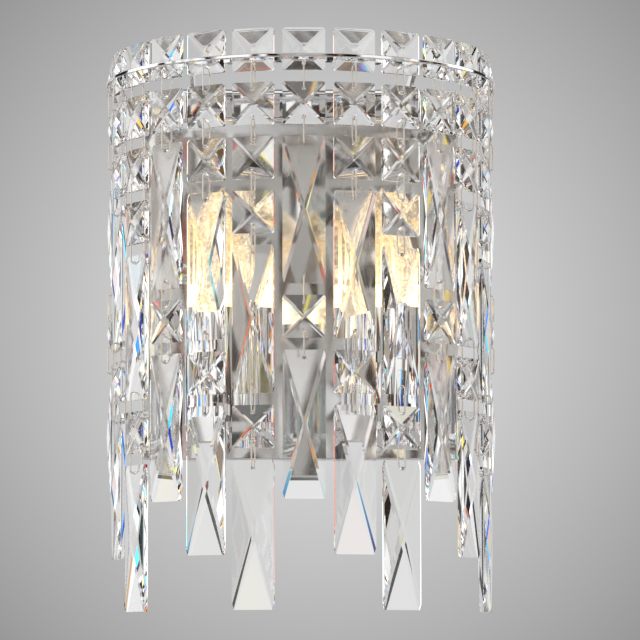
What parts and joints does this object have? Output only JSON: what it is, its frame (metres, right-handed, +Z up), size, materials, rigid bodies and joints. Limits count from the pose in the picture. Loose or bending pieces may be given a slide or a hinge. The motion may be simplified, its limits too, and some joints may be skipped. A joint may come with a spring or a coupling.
{
  "type": "crystal wall sconce",
  "caption": "Half-round wall light: hanging strands of cut glass on a chrome half-ring, with upright candle lamps in chrome cups in front of a mirror-finished back plate.",
  "frame": {"origin": "centre of the back plate's rear face, on the wall", "axes": "+Z up, +Y into the wall, the front looks along -Y, +X to the right seen from the front"},
  "size_m": [0.2104, 0.1187, 0.298],
  "materials": {
    "crystal": "clear cut glass with flat polished facets",
    "link_wire": "bright plated wire",
    "chrome_bright": "polished chrome",
    "mirror_chrome": "mirror polish",
    "zinc_steel": "zinc plated",
    "white_plastic": "moulded",
    "holder_ceramic": "plain",
    "nickel_cap": "nickel plated",
    "bulb_clear": "clear blown glass",
    "filament": "lit"
  },
  "bodies": {
    "frame": {"wall_bracket": "zinc_steel", "mounting_studs": "zinc_steel", "cap_nuts": "chrome_bright", "terminal_block": "white_plastic", "back_plate": "mirror_chrome", "header_box": "chrome_bright", "outer_rail": "chrome_bright", "inner_rail": "chrome_bright", "rail_spacers": "chrome_bright", "rail_end_tabs": "chrome_bright", "ring_spokes": "chrome_bright", "ring_squares": "crystal", "lamp_arms": "chrome_bright", "arm_locknuts": "zinc_steel", "lamp_cups": "chrome_bright", "cup_locknuts": "zinc_steel", "lampholders": "holder_ceramic", "bulb_caps": "nickel_cap", "bulb_glass": "bulb_clear", "bulb_filaments": "filament"},
    "strand_01": {"strand_01_glass": "crystal", "strand_01_links": "link_wire"},
    "strand_01_end": {"strand_01_end_prism": "crystal"},
    "strand_02": {"strand_02_glass": "crystal", "strand_02_links": "link_wire"},
    "strand_02_end": {"strand_02_end_prism": "crystal"},
    "strand_03": {"strand_03_glass": "crystal", "strand_03_links": "link_wire"},
    "strand_03_end": {"strand_03_end_prism": "crystal"},
    "strand_04": {"strand_04_glass": "crystal", "strand_04_links": "link_wire"},
    "strand_04_end": {"strand_04_end_prism": "crystal"},
    "strand_05": {"strand_05_glass": "crystal", "strand_05_links": "link_wire"},
    "strand_05_end": {"strand_05_end_prism": "crystal"},
    "strand_06": {"strand_06_glass": "crystal", "strand_06_links": "link_wire"},
    "strand_06_end": {"strand_06_end_prism": "crystal"},
    "strand_07": {"strand_07_glass": "crystal", "strand_07_links": "link_wire"},
    "strand_07_end": {"strand_07_end_prism": "crystal"},
    "strand_08": {"strand_08_glass": "crystal", "strand_08_links": "link_wire"},
    "strand_08_end": {"strand_08_end_prism": "crystal"},
    "strand_09": {"strand_09_glass": "crystal", "strand_09_links": "link_wire"},
    "strand_09_end": {"strand_09_end_prism": "crystal"},
    "strand_10": {"strand_10_glass": "crystal", "strand_10_links": "link_wire"},
    "strand_10_end": {"strand_10_end_prism": "crystal"},
    "strand_11": {"strand_11_glass": "crystal", "strand_11_links": "link_wire"},
    "strand_11_end": {"strand_11_end_prism": "crystal"},
    "strand_12": {"strand_12_glass": "crystal", "strand_12_links": "link_wire"},
    "strand_12_end": {"strand_12_end_prism": "crystal"},
    "strand_13": {"strand_13_glass": "crystal", "strand_13_links": "link_wire"},
    "strand_13_end": {"strand_13_end_prism": "crystal"}
  },
  "joints": [
    {"name": "strand_01_swing", "type": "hinge", "parent": "frame", "child": "strand_01", "pos_m": [-0.1, -0.014, 0.098], "axis": [0, 1, 0], "range_deg": [-2, 10]},
    {"name": "strand_01_end_swing", "type": "hinge", "parent": "strand_01", "child": "strand_01_end", "pos_m": [-0.1, -0.014, -0.054], "axis": [0, 1, 0], "range_deg": [-3, 15]},
    {"name": "strand_02_swing", "type": "hinge", "parent": "frame", "child": "strand_02", "pos_m": [-0.09659, -0.03988, 0.098], "axis": [-0.2588, 0.9659, 0], "range_deg": [-2, 10]},
    {"name": "strand_02_end_swing", "type": "hinge", "parent": "strand_02", "child": "strand_02_end", "pos_m": [-0.09659, -0.03988, -0.082], "axis": [-0.2588, 0.9659, 0], "range_deg": [-3, 15]},
    {"name": "strand_03_swing", "type": "hinge", "parent": "frame", "child": "strand_03", "pos_m": [-0.0866, -0.064, 0.098], "axis": [-0.5, 0.866, 0], "range_deg": [-2, 10]},
    {"name": "strand_03_end_swing", "type": "hinge", "parent": "strand_03", "child": "strand_03_end", "pos_m": [-0.0866, -0.064, -0.11], "axis": [-0.5, 0.866, 0], "range_deg": [-3, 15]},
    {"name": "strand_04_swing", "type": "hinge", "parent": "frame", "child": "strand_04", "pos_m": [-0.07071, -0.08471, 0.098], "axis": [-0.7071, 0.7071, 0], "range_deg": [-2, 10]},
    {"name": "strand_04_end_swing", "type": "hinge", "parent": "strand_04", "child": "strand_04_end", "pos_m": [-0.07071, -0.08471, -0.054], "axis": [-0.7071, 0.7071, 0], "range_deg": [-3, 15]},
    {"name": "strand_05_swing", "type": "hinge", "parent": "frame", "child": "strand_05", "pos_m": [-0.05, -0.1006, 0.098], "axis": [-0.866, 0.5, 0], "range_deg": [-2, 10]},
    {"name": "strand_05_end_swing", "type": "hinge", "parent": "strand_05", "child": "strand_05_end", "pos_m": [-0.05, -0.1006, -0.082], "axis": [-0.866, 0.5, 0], "range_deg": [-3, 15]},
    {"name": "strand_06_swing", "type": "hinge", "parent": "frame", "child": "strand_06", "pos_m": [-0.02588, -0.11059, 0.098], "axis": [-0.9659, 0.2588, 0], "range_deg": [-2, 10]},
    {"name": "strand_06_end_swing", "type": "hinge", "parent": "strand_06", "child": "strand_06_end", "pos_m": [-0.02588, -0.11059, -0.11], "axis": [-0.9659, 0.2588, 0], "range_deg": [-3, 15]},
    {"name": "strand_07_swing", "type": "hinge", "parent": "frame", "child": "strand_07", "pos_m": [0, -0.114, 0.098], "axis": [-1, 0, 0], "range_deg": [-2, 10]},
    {"name": "strand_07_end_swing", "type": "hinge", "parent": "strand_07", "child": "strand_07_end", "pos_m": [0, -0.114, -0.054], "axis": [-1, 0, 0], "range_deg": [-3, 15]},
    {"name": "strand_08_swing", "type": "hinge", "parent": "frame", "child": "strand_08", "pos_m": [0.02588, -0.11059, 0.098], "axis": [-0.9659, -0.2588, 0], "range_deg": [-2, 10]},
    {"name": "strand_08_end_swing", "type": "hinge", "parent": "strand_08", "child": "strand_08_end", "pos_m": [0.02588, -0.11059, -0.082], "axis": [-0.9659, -0.2588, 0], "range_deg": [-3, 15]},
    {"name": "strand_09_swing", "type": "hinge", "parent": "frame", "child": "strand_09", "pos_m": [0.05, -0.1006, 0.098], "axis": [-0.866, -0.5, 0], "range_deg": [-2, 10]},
    {"name": "strand_09_end_swing", "type": "hinge", "parent": "strand_09", "child": "strand_09_end", "pos_m": [0.05, -0.1006, -0.11], "axis": [-0.866, -0.5, 0], "range_deg": [-3, 15]},
    {"name": "strand_10_swing", "type": "hinge", "parent": "frame", "child": "strand_10", "pos_m": [0.07071, -0.08471, 0.098], "axis": [-0.7071, -0.7071, 0], "range_deg": [-2, 10]},
    {"name": "strand_10_end_swing", "type": "hinge", "parent": "strand_10", "child": "strand_10_end", "pos_m": [0.07071, -0.08471, -0.054], "axis": [-0.7071, -0.7071, 0], "range_deg": [-3, 15]},
    {"name": "strand_11_swing", "type": "hinge", "parent": "frame", "child": "strand_11", "pos_m": [0.0866, -0.064, 0.098], "axis": [-0.5, -0.866, 0], "range_deg": [-2, 10]},
    {"name": "strand_11_end_swing", "type": "hinge", "parent": "strand_11", "child": "strand_11_end", "pos_m": [0.0866, -0.064, -0.082], "axis": [-0.5, -0.866, 0], "range_deg": [-3, 15]},
    {"name": "strand_12_swing", "type": "hinge", "parent": "frame", "child": "strand_12", "pos_m": [0.09659, -0.03988, 0.098], "axis": [-0.2588, -0.9659, 0], "range_deg": [-2, 10]},
    {"name": "strand_12_end_swing", "type": "hinge", "parent": "strand_12", "child": "strand_12_end", "pos_m": [0.09659, -0.03988, -0.11], "axis": [-0.2588, -0.9659, 0], "range_deg": [-3, 15]},
    {"name": "strand_13_swing", "type": "hinge", "parent": "frame", "child": "strand_13", "pos_m": [0.1, -0.014, 0.098], "axis": [0, -1, 0], "range_deg": [-2, 10]},
    {"name": "strand_13_end_swing", "type": "hinge", "parent": "strand_13", "child": "strand_13_end", "pos_m": [0.1, -0.014, -0.054], "axis": [0, -1, 0], "range_deg": [-3, 15]}
  ]
}
